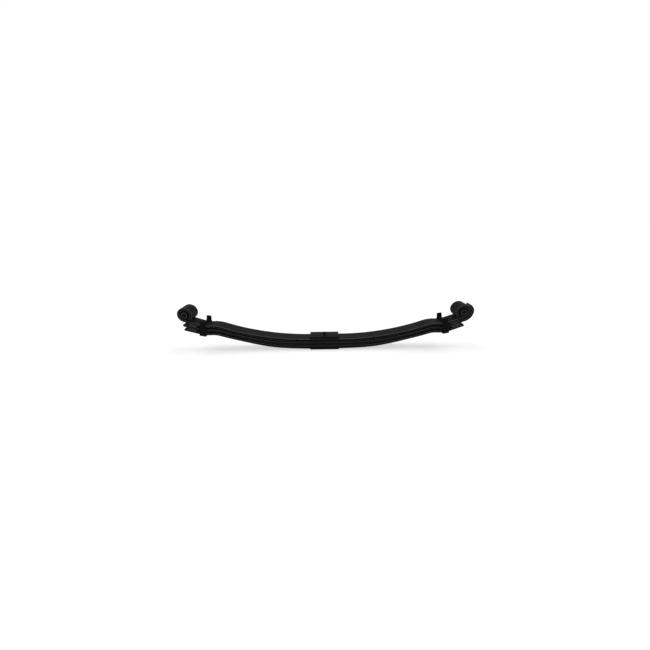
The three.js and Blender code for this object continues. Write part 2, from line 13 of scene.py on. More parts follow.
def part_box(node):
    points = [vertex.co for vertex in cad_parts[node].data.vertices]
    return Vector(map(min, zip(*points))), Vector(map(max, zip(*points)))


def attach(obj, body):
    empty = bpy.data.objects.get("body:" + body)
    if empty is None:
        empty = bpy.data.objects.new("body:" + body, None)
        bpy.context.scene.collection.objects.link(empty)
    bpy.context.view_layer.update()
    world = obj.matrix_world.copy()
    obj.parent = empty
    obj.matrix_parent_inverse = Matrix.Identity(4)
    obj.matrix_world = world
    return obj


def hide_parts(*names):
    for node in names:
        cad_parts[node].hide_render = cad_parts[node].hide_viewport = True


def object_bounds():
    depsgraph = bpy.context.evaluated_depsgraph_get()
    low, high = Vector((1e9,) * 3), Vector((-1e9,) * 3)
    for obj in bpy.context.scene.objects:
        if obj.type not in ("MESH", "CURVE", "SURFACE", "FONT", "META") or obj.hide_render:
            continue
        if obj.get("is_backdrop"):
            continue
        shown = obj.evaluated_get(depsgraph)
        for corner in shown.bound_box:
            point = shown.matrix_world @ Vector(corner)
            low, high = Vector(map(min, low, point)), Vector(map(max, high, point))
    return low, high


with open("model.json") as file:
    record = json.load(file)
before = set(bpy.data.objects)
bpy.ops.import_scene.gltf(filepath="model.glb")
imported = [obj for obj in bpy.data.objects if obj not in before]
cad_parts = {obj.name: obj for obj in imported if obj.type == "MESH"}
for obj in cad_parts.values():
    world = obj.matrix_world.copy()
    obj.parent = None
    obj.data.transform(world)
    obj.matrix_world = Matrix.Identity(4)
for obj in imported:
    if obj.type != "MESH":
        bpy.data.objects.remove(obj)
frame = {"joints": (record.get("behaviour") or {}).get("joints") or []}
cad_low, cad_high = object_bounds()

# ---- The set of the leaves ----
# All three leaves are bent hot to one set line, the main leaf's centre line: flat on the axle seat,
# a long even bend, a short reverse bend, a forward bend, a straight run, then round the eye.

TOUCH = 0.0003  # left open between pieces that touch
LEFT, RIGHT = -1, 1
SIDES = {LEFT: "left", RIGHT: "right"}

seat_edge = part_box("top_plate")[1].x
main_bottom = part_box("centre_spacer_upper")[1].z + TOUCH
main_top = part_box("top_plate")[0].z - TOUCH
seat_thickness = main_top - main_bottom
seat_centre = (main_bottom + main_top) / 2
leaf_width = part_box("main_leaf")[1].y * 2
joints = {joint["child"]: Vector(joint["pos_m"]) for joint in frame["joints"]}
eye = {LEFT: joints["left_pin_sleeve"], RIGHT: joints["right_pin_sleeve"]}

END_THICKNESS = 0.014
BODY_SLOPE = math.radians(19.3)
CRANK_SLOPE = math.radians(-3)
END_SLOPE = math.radians(19.3)
REVERSE_BEND_RADIUS = 0.2
FORWARD_BEND_RADIUS = 0.175
END_STRAIGHT = 0.1
CLIP_FROM_FOOT = 0.126
PAD_FROM_FOOT = 0.06
eye_outside = cad_high.z - eye[RIGHT].z
eye_middle = eye_outside - END_THICKNESS / 2

foot_x = eye[RIGHT].x + math.sin(END_SLOPE) * eye_middle
reverse_x = REVERSE_BEND_RADIUS * (math.sin(BODY_SLOPE) - math.sin(CRANK_SLOPE))
forward_x = FORWARD_BEND_RADIUS * (math.sin(END_SLOPE) - math.sin(CRANK_SLOPE))
straight_x = END_STRAIGHT * math.cos(END_SLOPE)
body_radius = (foot_x - seat_edge - reverse_x - forward_x - straight_x) / math.sin(BODY_SLOPE)

EYE_ROLL = math.radians(308)
STRETCHES = [  # the length of each, and what it turns
    (seat_edge, 0),
    (body_radius * BODY_SLOPE, BODY_SLOPE),
    (REVERSE_BEND_RADIUS * (BODY_SLOPE - CRANK_SLOPE), CRANK_SLOPE - BODY_SLOPE),
    (FORWARD_BEND_RADIUS * (END_SLOPE - CRANK_SLOPE), END_SLOPE - CRANK_SLOPE),
    (END_STRAIGHT, 0),
    (eye_middle * math.tau, math.tau),
]
foot_arc = sum(length for length, turn in STRETCHES[:-1])
clip_arc = foot_arc - CLIP_FROM_FOOT
pad_arc = foot_arc - PAD_FROM_FOOT
body_middle_arc = seat_edge + STRETCHES[1][0] / 2


def set_line(arc):
    """The set line's x, z and slope, this far along it from the middle of the seat."""
    x, z, slope = 0.0, seat_centre, 0.0
    for length, turn in STRETCHES:
        here = min(arc, length)
        arc -= here
        half = turn * here / length / 2
        chord = here * math.sin(half) / half if half else here
        x += chord * math.cos(slope + half)
        z += chord * math.sin(slope + half)
        slope += 2 * half
    return x, z, slope


# ---- Leaves ----
# Rolled flats of chrome-vanadium spring steel, thinner towards the tips so that they are equally
# stressed. Their edges are round from the mill, their faces shot peened, then dipped in paint.

EDGE_RADIUS = 0.0032
SHEARED_RADIUS = 0.0012
SEAT_GAP = 0.0046
BODY_GAP = 0.01
PAD_GAP = 0.0135
WRAP_CLEARANCE = 0.005
TIP_SPLAY = 0.005
WRAP_END = math.radians(37)
WRAP_CORNER_CUT = 0.015
THIRD_TIP_SETBACK = 0.012
CENTRE_HOLE = 0.015
SPIGOT_HOLE = 0.0126
RIVET_HOLE = 0.0106
RIVET_FLARE = 0.003
RIVET_SINK = 0.0043
DRILL_THROUGH = 0.02
DRILL_CLEAR = 0.005
ROWS_ALONG = 561
ROWS_ACROSS = 15
ROWS_THROUGH = 11


def add(tree, kind, inputs=(), **settings):
    """Adds a node with its settings. An input takes a value, a socket or a node's first output."""
    made = tree.nodes.new(kind)
    for name, value in settings.items():
        setattr(made, name, value)
    for key, value in inputs.items() if isinstance(inputs, dict) else enumerate(inputs):
        if isinstance(value, bpy.types.Node):
            value = next(out for out in value.outputs if out.enabled)
        if isinstance(value, bpy.types.NodeSocket):
            tree.links.new(value, made.inputs[key])
        else:
            made.inputs[key].default_value = value
    return made


def math_of(tree, operation, *values):
    """A math node that does this to its values."""
    return add(tree, "ShaderNodeMath", values, operation=operation)


def vector_of(tree, operation, *values):
    """A vector math node that does this to its values."""
    return add(tree, "ShaderNodeVectorMath", values, operation=operation)


def remap(tree, value, *span, **settings):
    """Carries a value from one span over to another, and holds it at the span's ends."""
    return add(tree, "ShaderNodeMapRange", [value, *span], **settings)


def new_tree(name, inputs):
    """A Geometry Nodes tree with named inputs, and the node that gives them out."""
    tree = bpy.data.node_groups.new(name, "GeometryNodeTree")
    for label, kind in inputs.items():
        tree.interface.new_socket(label, in_out="INPUT", socket_type="NodeSocket" + kind)
    return tree, add(tree, "NodeGroupInput").outputs


def end_tree(tree, geometry, material):
    """Ends a tree as a plain mesh with its material."""
    tree.interface.new_socket("Mesh", in_out="OUTPUT", socket_type="NodeSocketGeometry")
    real = add(tree, "GeometryNodeRealizeInstances", [geometry])
    dressed = add(tree, "GeometryNodeSetMaterial", {"Geometry": real, "Material": material})
    add(tree, "NodeGroupOutput", [dressed])


def run_tree(piece, tree, values):
    """Puts a piece through a tree with these values, and keeps the result as its mesh."""
    modifier = piece.modifiers.new("tree", "NODES")
    modifier.node_group = tree
    for socket in tree.interface.items_tree:
        if socket.in_out == "INPUT" and socket.name in values:
            modifier[socket.identifier] = values[socket.name]
    bake(piece)


def bake(piece):
    """Keeps what a piece's modifiers make as its own mesh, and removes them."""
    graph = bpy.context.evaluated_depsgraph_get()
    mesh = bpy.data.meshes.new_from_object(piece.evaluated_get(graph))
    piece.modifiers.clear()
    piece.data = mesh


def new_piece(name, mesh=None):
    piece = bpy.data.objects.new(name, mesh or bpy.data.meshes.new(name))
    bpy.context.scene.collection.objects.link(piece)
    return piece


# One of the bar's three directions: where a row of vertices lies, counted from the middle. The
# rows close up near the ends, so that the edge can be rounded, and one row backs the rounding up.
rows, rows_in = new_tree(
    "spread_rows", {"Row": "Float", "Last Row": "Float", "Half Size": "Float", "Radius": "Float"}
)
FILLET_ROWS = 3.0
BACKING = 0.0005
row_size = math_of(rows, "ABSOLUTE", rows_in["Row"])
from_end = math_of(rows, "SUBTRACT", rows_in["Last Row"], row_size)
round_part = remap(rows, from_end, 0.0, FILLET_ROWS, 0.0, rows_in["Radius"])
backed_part = remap(rows, from_end, FILLET_ROWS, FILLET_ROWS + 1, 0.0, BACKING)
round_and_back = math_of(rows, "ADD", rows_in["Radius"], BACKING)
flat_size = math_of(rows, "SUBTRACT", rows_in["Half Size"], round_and_back)
flat_part = remap(rows, from_end, FILLET_ROWS + 1, rows_in["Last Row"], 0.0, flat_size)
inward = math_of(rows, "ADD", round_part, math_of(rows, "ADD", backed_part, flat_part))
from_middle = math_of(rows, "SUBTRACT", rows_in["Half Size"], inward)
row_side = math_of(rows, "SIGN", rows_in["Row"])
rows.interface.new_socket("Place", in_out="OUTPUT", socket_type="NodeSocketFloat")
add(rows, "NodeGroupOutput", [math_of(rows, "MULTIPLY", from_middle, row_side)])

# The open space under a leaf, which widens from the seat to the clip and changes again at the tip.
gaps, gaps_in = new_tree("gap_under_leaf", {"Arc": "Float", "At Foot": "Float"})
to_clip = [
    (seat_edge, body_middle_arc, SEAT_GAP, BODY_GAP),
    (body_middle_arc, clip_arc, 0.0, PAD_GAP - BODY_GAP),
]
widenings = [
    remap(gaps, gaps_in["Arc"], *step, interpolation_type="SMOOTHSTEP") for step in to_clip
]
at_clip = math_of(gaps, "ADD", *widenings)
tip_change = math_of(gaps, "SUBTRACT", gaps_in["At Foot"], PAD_GAP)
past_clip = remap(
    gaps, gaps_in["Arc"], clip_arc, foot_arc, 0.0, tip_change, interpolation_type="SMOOTHSTEP"
)
gaps.interface.new_socket("Gap", in_out="OUTPUT", socket_type="NodeSocketFloat")
add(gaps, "NodeGroupOutput", [math_of(gaps, "ADD", at_clip, past_clip)])

# A whole leaf: a straight bar with round edges, given its thickness and laid along the set line.
leaf, leaf_in = new_tree(
    "parabolic_leaf",
    {
        "Set Line": "Object",
        "Left Reach": "Float",
        "Right Reach": "Float",
        "Leaves Above": "Float",
        "Width": "Float",
        "Seat Thickness": "Float",
        "End Thickness": "Float",
        "First Gap Left": "Float",
        "First Gap Right": "Float",
        "Second Gap Left": "Float",
        "Second Gap Right": "Float",
        "Corner Cut": "Float",
        "Rows Along": "Int",
        "Rows Across": "Int",
        "Rows Through": "Int",
        "Paint": "Material",
    },
)
last_rows = [
    math_of(leaf, "SUBTRACT", leaf_in[name], 1.0)
    for name in ("Rows Along", "Rows Across", "Rows Through")
]
bar = add(
    leaf,
    "GeometryNodeMeshCube",
    {
        "Size": add(leaf, "ShaderNodeCombineXYZ", last_rows),
        "Vertices X": leaf_in["Rows Along"],
        "Vertices Y": leaf_in["Rows Across"],
        "Vertices Z": leaf_in["Rows Through"],
    },
)
row_of = add(leaf, "ShaderNodeSeparateXYZ", [add(leaf, "GeometryNodeInputPosition")]).outputs
half_rows = [math_of(leaf, "MULTIPLY", n, 0.5) for n in last_rows]

both_reaches = math_of(leaf, "ADD", leaf_in["Left Reach"], leaf_in["Right Reach"])
half_length = math_of(leaf, "MULTIPLY", both_reaches, 0.5)
middle = math_of(leaf, "SUBTRACT", leaf_in["Right Reach"], half_length)
along = add(
    leaf,
    "GeometryNodeGroup",
    [row_of[0], half_rows[0], half_length, SHEARED_RADIUS],
    node_tree=rows,
)
signed_arc = math_of(leaf, "ADD", along, middle)
arc = math_of(leaf, "ABSOLUTE", signed_arc)

from_seat = remap(leaf, arc, seat_edge, foot_arc, 1.0, 0.0)
root = math_of(leaf, "SQRT", from_seat)
tapered = math_of(leaf, "MULTIPLY", leaf_in["Seat Thickness"], root)
thickness = math_of(leaf, "MAXIMUM", tapered, leaf_in["End Thickness"])
half_thickness = math_of(leaf, "MULTIPLY", thickness, 0.5)

to_end = math_of(leaf, "SUBTRACT", leaf_in["Right Reach"], signed_arc)
cut_here = math_of(leaf, "SUBTRACT", leaf_in["Corner Cut"], to_end)
cut_off = math_of(leaf, "MAXIMUM", cut_here, 0.0)
full_half = math_of(leaf, "MULTIPLY", leaf_in["Width"], 0.5)
half_width = math_of(leaf, "SUBTRACT", full_half, cut_off)

across, through = (
    add(leaf, "GeometryNodeGroup", [row_of[i], half_rows[i], half, EDGE_RADIUS], node_tree=rows)
    for i, half in ((1, half_width), (2, half_thickness))
)

# Rounding: what a vertex has beyond the bar's inner core is pulled in to an ellipsoid's surface.
radii = (SHEARED_RADIUS, EDGE_RADIUS, EDGE_RADIUS)
square = add(leaf, "ShaderNodeCombineXYZ", [along, across, through])
halves = add(leaf, "ShaderNodeCombineXYZ", [half_length, half_width, half_thickness])
core = vector_of(leaf, "SUBTRACT", halves, radii)
core_low = vector_of(leaf, "SUBTRACT", radii, halves)
held_low = vector_of(leaf, "MAXIMUM", square, core_low)
held = vector_of(leaf, "MINIMUM", held_low, core)
beyond = vector_of(leaf, "SUBTRACT", square, held)
in_radii = vector_of(leaf, "DIVIDE", beyond, radii)
outward = vector_of(leaf, "NORMALIZE", in_radii)
rounding = vector_of(leaf, "MULTIPLY", outward, radii)
rounded = vector_of(leaf, "ADD", held, rounding)
bar_place = add(leaf, "ShaderNodeSeparateXYZ", [rounded]).outputs
out_of = add(leaf, "ShaderNodeSeparateXYZ", [outward]).outputs

# How far under the set line the leaf's own middle lies.
left_end = add(leaf, "FunctionNodeCompare", [signed_arc, 0.0], operation="LESS_THAN")
first_foot, second_foot = (
    add(
        leaf,
        "GeometryNodeSwitch",
        [left_end, leaf_in[f"{which} Gap Right"], leaf_in[f"{which} Gap Left"]],
        input_type="FLOAT",
    )
    for which in ("First", "Second")
)
first_gap = add(leaf, "GeometryNodeGroup", [arc, first_foot], node_tree=gaps)
second_gap = add(leaf, "GeometryNodeGroup", [arc, second_foot], node_tree=gaps)
above = leaf_in["Leaves Above"]
has_first = math_of(leaf, "MINIMUM", above, 1.0)
has_second = math_of(leaf, "SUBTRACT", above, has_first)
thick_above = math_of(leaf, "MULTIPLY", thickness, above)
one_gap = math_of(leaf, "MULTIPLY", first_gap, has_first)
two_gaps = math_of(leaf, "MULTIPLY_ADD", second_gap, has_second, one_gap)
under = math_of(leaf, "ADD", thick_above, two_gaps)
depth = math_of(leaf, "SUBTRACT", under, bar_place[2])

# Bending: the bar's length is followed along the set line, and its depth is kept square to it.
line_object = add(leaf, "GeometryNodeObjectInfo", [leaf_in["Set Line"]])
line = add(leaf, "GeometryNodeMeshToCurve", [line_object.outputs["Geometry"]])
bar_arc = math_of(leaf, "ADD", bar_place[0], middle)
line_arc = math_of(leaf, "ABSOLUTE", bar_arc)
side = math_of(leaf, "SIGN", bar_arc)
on_line = add(
    leaf,
    "GeometryNodeSampleCurve",
    {"Curves": line, "Length": line_arc},
    mode="LENGTH",
    use_all_curves=True,
)
line_at = add(leaf, "ShaderNodeSeparateXYZ", [on_line.outputs["Position"]]).outputs
tangent = add(leaf, "ShaderNodeSeparateXYZ", [on_line.outputs["Tangent"]]).outputs
out_x = math_of(leaf, "MULTIPLY_ADD", tangent[2], depth, line_at[0])
bent_x = math_of(leaf, "MULTIPLY", out_x, side)
drop = math_of(leaf, "MULTIPLY", tangent[0], depth)
bent_z = math_of(leaf, "SUBTRACT", line_at[2], drop)
bent = add(leaf, "ShaderNodeCombineXYZ", [bent_x, bar_place[1], bent_z])

# The paint reads two attributes: the bar's flat length and width, and where its edges are.
flat = add(leaf, "ShaderNodeCombineXYZ", [bar_arc, bar_place[1], bar_place[2]])
with_flat = add(
    leaf,
    "GeometryNodeStoreNamedAttribute",
    {"Geometry": bar, "Name": "flat", "Value": flat},
    data_type="FLOAT_VECTOR",
)
over_edge = math_of(leaf, "MULTIPLY", out_of[1], out_of[2])
over_end = math_of(leaf, "MULTIPLY", out_of[0], out_of[2])
edge_size = math_of(leaf, "ABSOLUTE", over_edge)
end_size = math_of(leaf, "ABSOLUTE", over_end)
largest = math_of(leaf, "MAXIMUM", edge_size, end_size)
with_edge = add(
    leaf,
    "GeometryNodeStoreNamedAttribute",
    {
        "Geometry": with_flat,
        "Name": "edge",
        "Value": math_of(leaf, "MULTIPLY", largest, 2.0),
    },
    data_type="FLOAT",
)
laid = add(leaf, "GeometryNodeSetPosition", {"Geometry": with_edge, "Position": bent})
end_tree(leaf, laid, leaf_in["Paint"])


def from_hex(code):
    """An sRGB hex colour as linear light."""
    channels = [int(code[i : i + 2], 16) / 255 for i in (1, 3, 5)]
    linear = [c / 12.92 if c <= 0.04045 else ((c + 0.055) / 1.055) ** 2.4 for c in channels]
    return (*linear, 1.0)


def new_material(name, **shader_values):
    """A material, its tree and shader, and the piece's own coordinates. An underscore in a
    value's name is a space."""
    material = bpy.data.materials.new(name)
    material.use_nodes = True
    shader = material.node_tree.nodes["Principled BSDF"]
    for label, value in shader_values.items():
        shader.inputs[label.replace("_", " ")].default_value = value
    place = add(material.node_tree, "ShaderNodeTexCoord").outputs["Object"]
    return material, material.node_tree, shader, place


NOISE_LOW = 0.3
NOISE_HIGH = 0.7


def grain(tree, place, width, **more):
    """A noise in lumps about this wide."""
    return add(tree, "ShaderNodeTexNoise", {"Vector": place, "Scale": 1 / width, **more})


def spread(tree, noise, low, high):
    """A noise's middle values, where most of it lies, spread from one number to another."""
    return remap(tree, noise, NOISE_LOW, NOISE_HIGH, low, high)


def blend(tree, share, low, high):
    """A colour between an sRGB hex or another colour, and an sRGB hex."""
    start = from_hex(low) if isinstance(low, str) else low
    inputs = {"Factor": share, 6: start, 7: from_hex(high)}
    return add(tree, "ShaderNodeMix", inputs, data_type="RGBA").outputs[2]


def coat(tree, shader, colour, roughness, texture, depth):
    """Gives a shader its colour and roughness, and a texture that stands out this far."""
    tree.links.new(colour, shader.inputs["Base Color"])
    tree.links.new(roughness.outputs[0], shader.inputs["Roughness"])
    bump = add(tree, "ShaderNodeBump", {"Height": texture, "Distance": depth})
    tree.links.new(bump.outputs["Normal"], shader.inputs["Normal"])


# Satin black chassis paint: a thin dipped coat that follows the steel below it. It is near black,
# cloudy where the film is thicker, and lighter over the edges: partly paint wear, partly a painted
# highlight that stands in for the shine along the edges. On the leaves it shows faint streaks along
# the steel, as it was rolled. Real streaks are finer; these are 70 mm long and 3.5 mm wide, so that
# they show. Only the steel's texture differs.
PAINT_GLOSS = 0.04
PAINT_INDEX = 1.5
CLOUD_WIDTH = 0.045
RUB_AND_HIGHLIGHT_WIDTH = 0.006
EDGE_REACH = 0.002
EDGE_TURN = 0.75
# How far the edges lighten, for paint wear and for the painted highlight along them.
WEAR_AND_HIGHLIGHT_START = 0.1
WEAR_AND_HIGHLIGHT_FULL = 0.5
WEAR_AND_HIGHLIGHT_MOST = 0.9
STREAK_LENGTH = 0.07
STREAK_WIDTH = 0.0035


def chassis_paint(name, dimple, height, on_leaf=False):
    """The paint over steel with dimples of this width and height. A leaf's mesh says where its
    edges are; on other pieces the shader finds them."""
    material, tree, shader, place = new_material(
        name, Specular_IOR_Level=PAINT_GLOSS, IOR=PAINT_INDEX
    )
    clouds = grain(tree, place, CLOUD_WIDTH, Detail=4.0, Roughness=0.6)
    cover = clouds
    if on_leaf:
        edge = add(tree, "ShaderNodeAttribute", attribute_name="edge").outputs["Fac"]
        flat = add(tree, "ShaderNodeAttribute", attribute_name="flat").outputs["Vector"]
        streak = (STREAK_LENGTH, STREAK_WIDTH, STREAK_WIDTH)
        drawn_out = vector_of(tree, "DIVIDE", flat, streak)
        streaks = grain(tree, drawn_out, 1.0)
        both = math_of(tree, "ADD", clouds, streaks)
        cover = math_of(tree, "MULTIPLY", both, 0.5)
    else:
        eased = add(tree, "ShaderNodeBevel", {"Radius": EDGE_REACH}, samples=6)
        true = add(tree, "ShaderNodeNewGeometry").outputs["Normal"]
        agree = vector_of(tree, "DOT_PRODUCT", eased, true)
        edge = remap(tree, agree.outputs["Value"], 1.0, EDGE_TURN, 0.0, 1.0)
    film = blend(tree, spread(tree, cover, 0.0, 1.0), "#050506", "#1c1c1d")
    # Painted highlight: the edges are lightened towards #6c6d70, partly as paint wear and partly to
    # stand in for the shine along the edges.
    rub_and_highlight_noise = grain(tree, place, RUB_AND_HIGHLIGHT_WIDTH, Detail=5.0, Roughness=0.7)
    thin = math_of(tree, "MULTIPLY", edge, rub_and_highlight_noise)
    wear_and_highlight_share = remap(tree, thin, WEAR_AND_HIGHLIGHT_START, WEAR_AND_HIGHLIGHT_FULL, 0.0, WEAR_AND_HIGHLIGHT_MOST)
    worn_and_highlit_film = blend(tree, wear_and_highlight_share, film, "#6c6d70")
    gloss = spread(tree, clouds, 0.48, 0.64)
    dimples = grain(tree, place, dimple, Detail=2.0, Roughness=0.5)
    coat(tree, shader, worn_and_highlit_film, gloss, dimples, height)
    return material


# Shot peening leaves dimples about 1 mm wide; they are drawn 4 mm wide here, so that they show.
peened_paint = chassis_paint(
    "satin_paint_on_peened_steel", dimple=0.004, height=0.0005, on_leaf=True
)


def fit(piece, node, material, body="spring", sharp=38):
    """Puts a finished piece in the place of its CAD node, with its one material and smooth
    shading that breaks at edges sharper than this many degrees."""
    piece.data.shade_smooth()
    piece.data.set_sharp_from_angle(angle=math.radians(sharp))
    piece.data.materials.clear()
    piece.data.materials.append(material)
    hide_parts(node)
    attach(piece, body)


SAME_PLACE = 1e-6


def skin(name, rings, capped=False):
    """A closed mesh over rings of points. It has two flat ends, or its last ring meets its first."""
    work = bmesh.new()
    laid_rings = [[work.verts.new(point) for point in ring] for ring in rings]
    following = laid_rings[1:] if capped else laid_rings[1:] + laid_rings[:1]
    for ring, after in zip(laid_rings, following):
        for i in range(len(ring)):
            j = (i + 1) % len(ring)
            work.faces.new((ring[i], ring[j], after[j], after[i]))
    if capped:
        work.faces.new(laid_rings[0])
        work.faces.new(laid_rings[-1])
    bmesh.ops.remove_doubles(work, verts=work.verts, dist=SAME_PLACE)
    bmesh.ops.dissolve_degenerate(work, edges=work.edges, dist=SAME_PLACE)
    bmesh.ops.recalc_face_normals(work, faces=work.faces)
    mesh = bpy.data.meshes.new(name)
    work.to_mesh(mesh)
    work.free()
    return new_piece(name, mesh)


def turned(name, profile, steps=64, flats=None):
    """A piece turned about Z from (radius, height) pairs. With flats it is cut to a hexagon."""
    rings = []
    for i in range(steps):
        angle = math.tau * i / steps
        off_flat = (angle + math.pi / 6) % (math.pi / 3) - math.pi / 6
        limit = flats / 2 / math.cos(off_flat) if flats else math.inf
        reach = [min(radius, limit) for radius, height in profile]
        rings.append(
            [
                Vector((r * math.cos(angle), r * math.sin(angle), height))
                for r, (radius, height) in zip(reach, profile)
            ]
        )
    return skin(name, rings)


def cut_away(piece, tool):
    """Takes a tool's shape out of a piece, and the tool out of the scene."""
    cut = piece.modifiers.new("cut", "BOOLEAN")
    cut.object = tool
    cut.solver = "EXACT"
    bake(piece)
    bpy.data.objects.remove(tool)


def drill(piece, *bars):
    """Cuts round bars out of a piece. Each is a diameter, two heights and a placing matrix."""
    for diameter, low, high, placing in bars:
        radius = diameter / 2
        profile = [(0, low), (radius, low), (radius, high), (0, high)]
        tool = turned("drill", profile, steps=48)
        tool.data.transform(placing)
        cut_away(piece, tool)


def sink_rivet_hole(piece, side):
    """A countersunk hole for the clip's rivet, through the third leaf."""
    narrow, wide = RIVET_HOLE / 2, RIVET_HOLE / 2 + RIVET_FLARE
    low, high = -DRILL_THROUGH, END_THICKNESS + DRILL_CLEAR
    profile = [(0, low), (narrow, low), (narrow, END_THICKNESS - RIVET_SINK)]
    profile += [(wide, END_THICKNESS), (wide, high), (0, high)]
    tool = turned("countersink", profile, steps=48)
    bottom = depth_of_top(2, clip_arc, side) + thickness_at(clip_arc)
    tool.data.transform(square_to_leaf(clip_arc, bottom, side))
    cut_away(piece, tool)


def thickness_at(arc):
    left = max(foot_arc - max(arc, seat_edge), 0) / (foot_arc - seat_edge)
    return max(seat_thickness * math.sqrt(left), END_THICKNESS)


def eased(arc, start, end, low, high):
    share = min(max((arc - start) / (end - start), 0), 1)
    return low + (high - low) * share * share * (3 - 2 * share)


# At the right the wrapper closes up to the eye. At each end one gap opens further at the tips: the
# one over the second leaf's plain tip, or the one under the wrapper.
gap_at_foot = {
    LEFT: (PAD_GAP + TIP_SPLAY, PAD_GAP),
    RIGHT: (WRAP_CLEARANCE, PAD_GAP + TIP_SPLAY),
}


def gap_under(leaf_number, arc, side):
    inner = eased(arc, seat_edge, body_middle_arc, SEAT_GAP, BODY_GAP)
    outer = eased(arc, body_middle_arc, clip_arc, 0, PAD_GAP - BODY_GAP)
    to_foot = gap_at_foot[side][leaf_number] - PAD_GAP
    return inner + outer + eased(arc, clip_arc, foot_arc, 0, to_foot)


def depth_of_top(leaf_number, arc, side):
    """How far a leaf's upper face lies under the set line."""
    gaps_above = sum(gap_under(above, arc, side) for above in range(leaf_number))
    return (leaf_number - 0.5) * thickness_at(arc) + gaps_above


def square_to_leaf(arc, depth, side):
    """The frame that stands square to the leaves at a depth under the set line."""
    x, z, slope = set_line(arc)
    point = Vector((side * (x + math.sin(slope) * depth), 0, z - math.cos(slope) * depth))
    return Matrix.Translation(point) @ Matrix.Rotation(-side * slope, 4, "Y")


LINE_STEP = 0.002
LINE_SPARE = 0.01
line_points = []
line_arc_now = 0.0
whole_line = foot_arc + eye_middle * EYE_ROLL + LINE_SPARE
while line_arc_now < whole_line:
    x, z, slope = set_line(line_arc_now)
    line_points.append((x, 0, z))
    line_arc_now += LINE_STEP
line_mesh = bpy.data.meshes.new("set_line")
line_mesh.from_pydata(line_points, [(i, i + 1) for i in range(len(line_points) - 1)], [])
set_line_object = new_piece("set_line", line_mesh)

wrap_arc = eye_middle * (WRAP_END + math.pi / 2 - END_SLOPE)
reaches = {
    "main_leaf": [foot_arc + eye_middle * EYE_ROLL] * 2,
    "second_leaf": [foot_arc, foot_arc + wrap_arc],
    "third_leaf": [foot_arc - THIRD_TIP_SETBACK] * 2,
}
upright = Matrix.Identity(4)
for number, (node, (left_reach, right_reach)) in enumerate(reaches.items()):
    piece = new_piece(f"{node}_finished")
    run_tree(
        piece,
        leaf,
        {
            "Set Line": set_line_object,
            "Left Reach": left_reach,
            "Right Reach": right_reach,
            "Leaves Above": float(number),
            "Width": leaf_width,
            "Seat Thickness": seat_thickness,
            "End Thickness": END_THICKNESS,
            "First Gap Left": gap_at_foot[LEFT][0],
            "First Gap Right": gap_at_foot[RIGHT][0],
            "Second Gap Left": gap_at_foot[LEFT][1],
            "Second Gap Right": gap_at_foot[RIGHT][1],
            "Corner Cut": WRAP_CORNER_CUT if number == 1 else 0.0,
            "Rows Along": ROWS_ALONG,
            "Rows Across": ROWS_ACROSS,
            "Rows Through": ROWS_THROUGH,
            "Paint": peened_paint,
        },
    )
    holes = [(CENTRE_HOLE, 0.0, main_top + DRILL_CLEAR, upright)]
    if number:
        for side in SIDES:
            spot = square_to_leaf(pad_arc, depth_of_top(number, pad_arc, side), side)
            holes.append((SPIGOT_HOLE, -DRILL_THROUGH, DRILL_CLEAR, spot))
    drill(piece, *holes)
    if node == "third_leaf":
        for side in SIDES:
            sink_rivet_hole(piece, side)
    fit(piece, node, peened_paint)
bpy.data.objects.remove(set_line_object)

# ---- Seat plates and spacers ----
# Flat steel plates, sawn from bar and chamfered at their ends, that the axle's U-bolts clamp.
# Thin spacers keep the leaves apart at the seat. The top plate is spot faced for the washer.

PLATE_EDGE = 0.0008
PLATE_CHAMFER = 0.0025
SPOT_FACE = 0.032
SPOT_FACE_DEPTH = 0.001
HEAD_RECESS = 0.0276
HEAD_DEPTH = 0.005


def round_corners(corners, radius, steps=3):
    """An outline with each corner turned into a small arc."""
    points = []
    earlier, later = corners[-1:] + corners[:-1], corners[1:] + corners[:1]
    for before, corner, after in zip(earlier, corners, later):
        to_before = (Vector(before) - Vector(corner)).normalized()
        to_after = (Vector(after) - Vector(corner)).normalized()
        bisector = (to_before + to_after).normalized()
        half = to_before.angle(to_after) / 2
        centre = Vector(corner) + bisector * radius / math.sin(half)
        start = (Vector(corner) + to_before * radius / math.tan(half) - centre).normalized()
        end = (Vector(corner) + to_after * radius / math.tan(half) - centre).normalized()
        points += [centre + start.slerp(end, i / steps) * radius for i in range(steps + 1)]
    return points


def seat_plate(node, chamfer):
    """A plate in its CAD node's box, with chamfered ends and all its edges eased."""
    low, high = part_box(node)
    rings = []
    edge_steps = [math.pi / 2 * i / 3 for i in range(4)]
    for side, angles in ((-1, edge_steps), (1, edge_steps[::-1])):
        for angle in angles:
            inset = PLATE_EDGE * (1 - math.sin(angle))
            y = side * (high.y - PLATE_EDGE * (1 - math.cos(angle)))
            x, bottom, top = high.x - inset, low.z + inset, high.z - inset
            outline = [
                (-x + chamfer, bottom),
                (x - chamfer, bottom),
                (x, bottom + chamfer),
                (x, top - chamfer),
                (x - chamfer, top),
                (-x + chamfer, top),
                (-x, top - chamfer),
                (-x, bottom + chamfer),
            ]
            ring = round_corners(outline, PLATE_EDGE - inset / 2)
            rings.append([Vector((point.x, y, point.y)) for point in ring])
    return skin(f"{node}_finished", rings, capped=True)


# Hot-rolled plate keeps a low, wide ripple from the mill, some 12 mm across, under its paint.
plate_paint = chassis_paint("satin_paint_on_rolled_plate", dimple=0.012, height=0.0004)

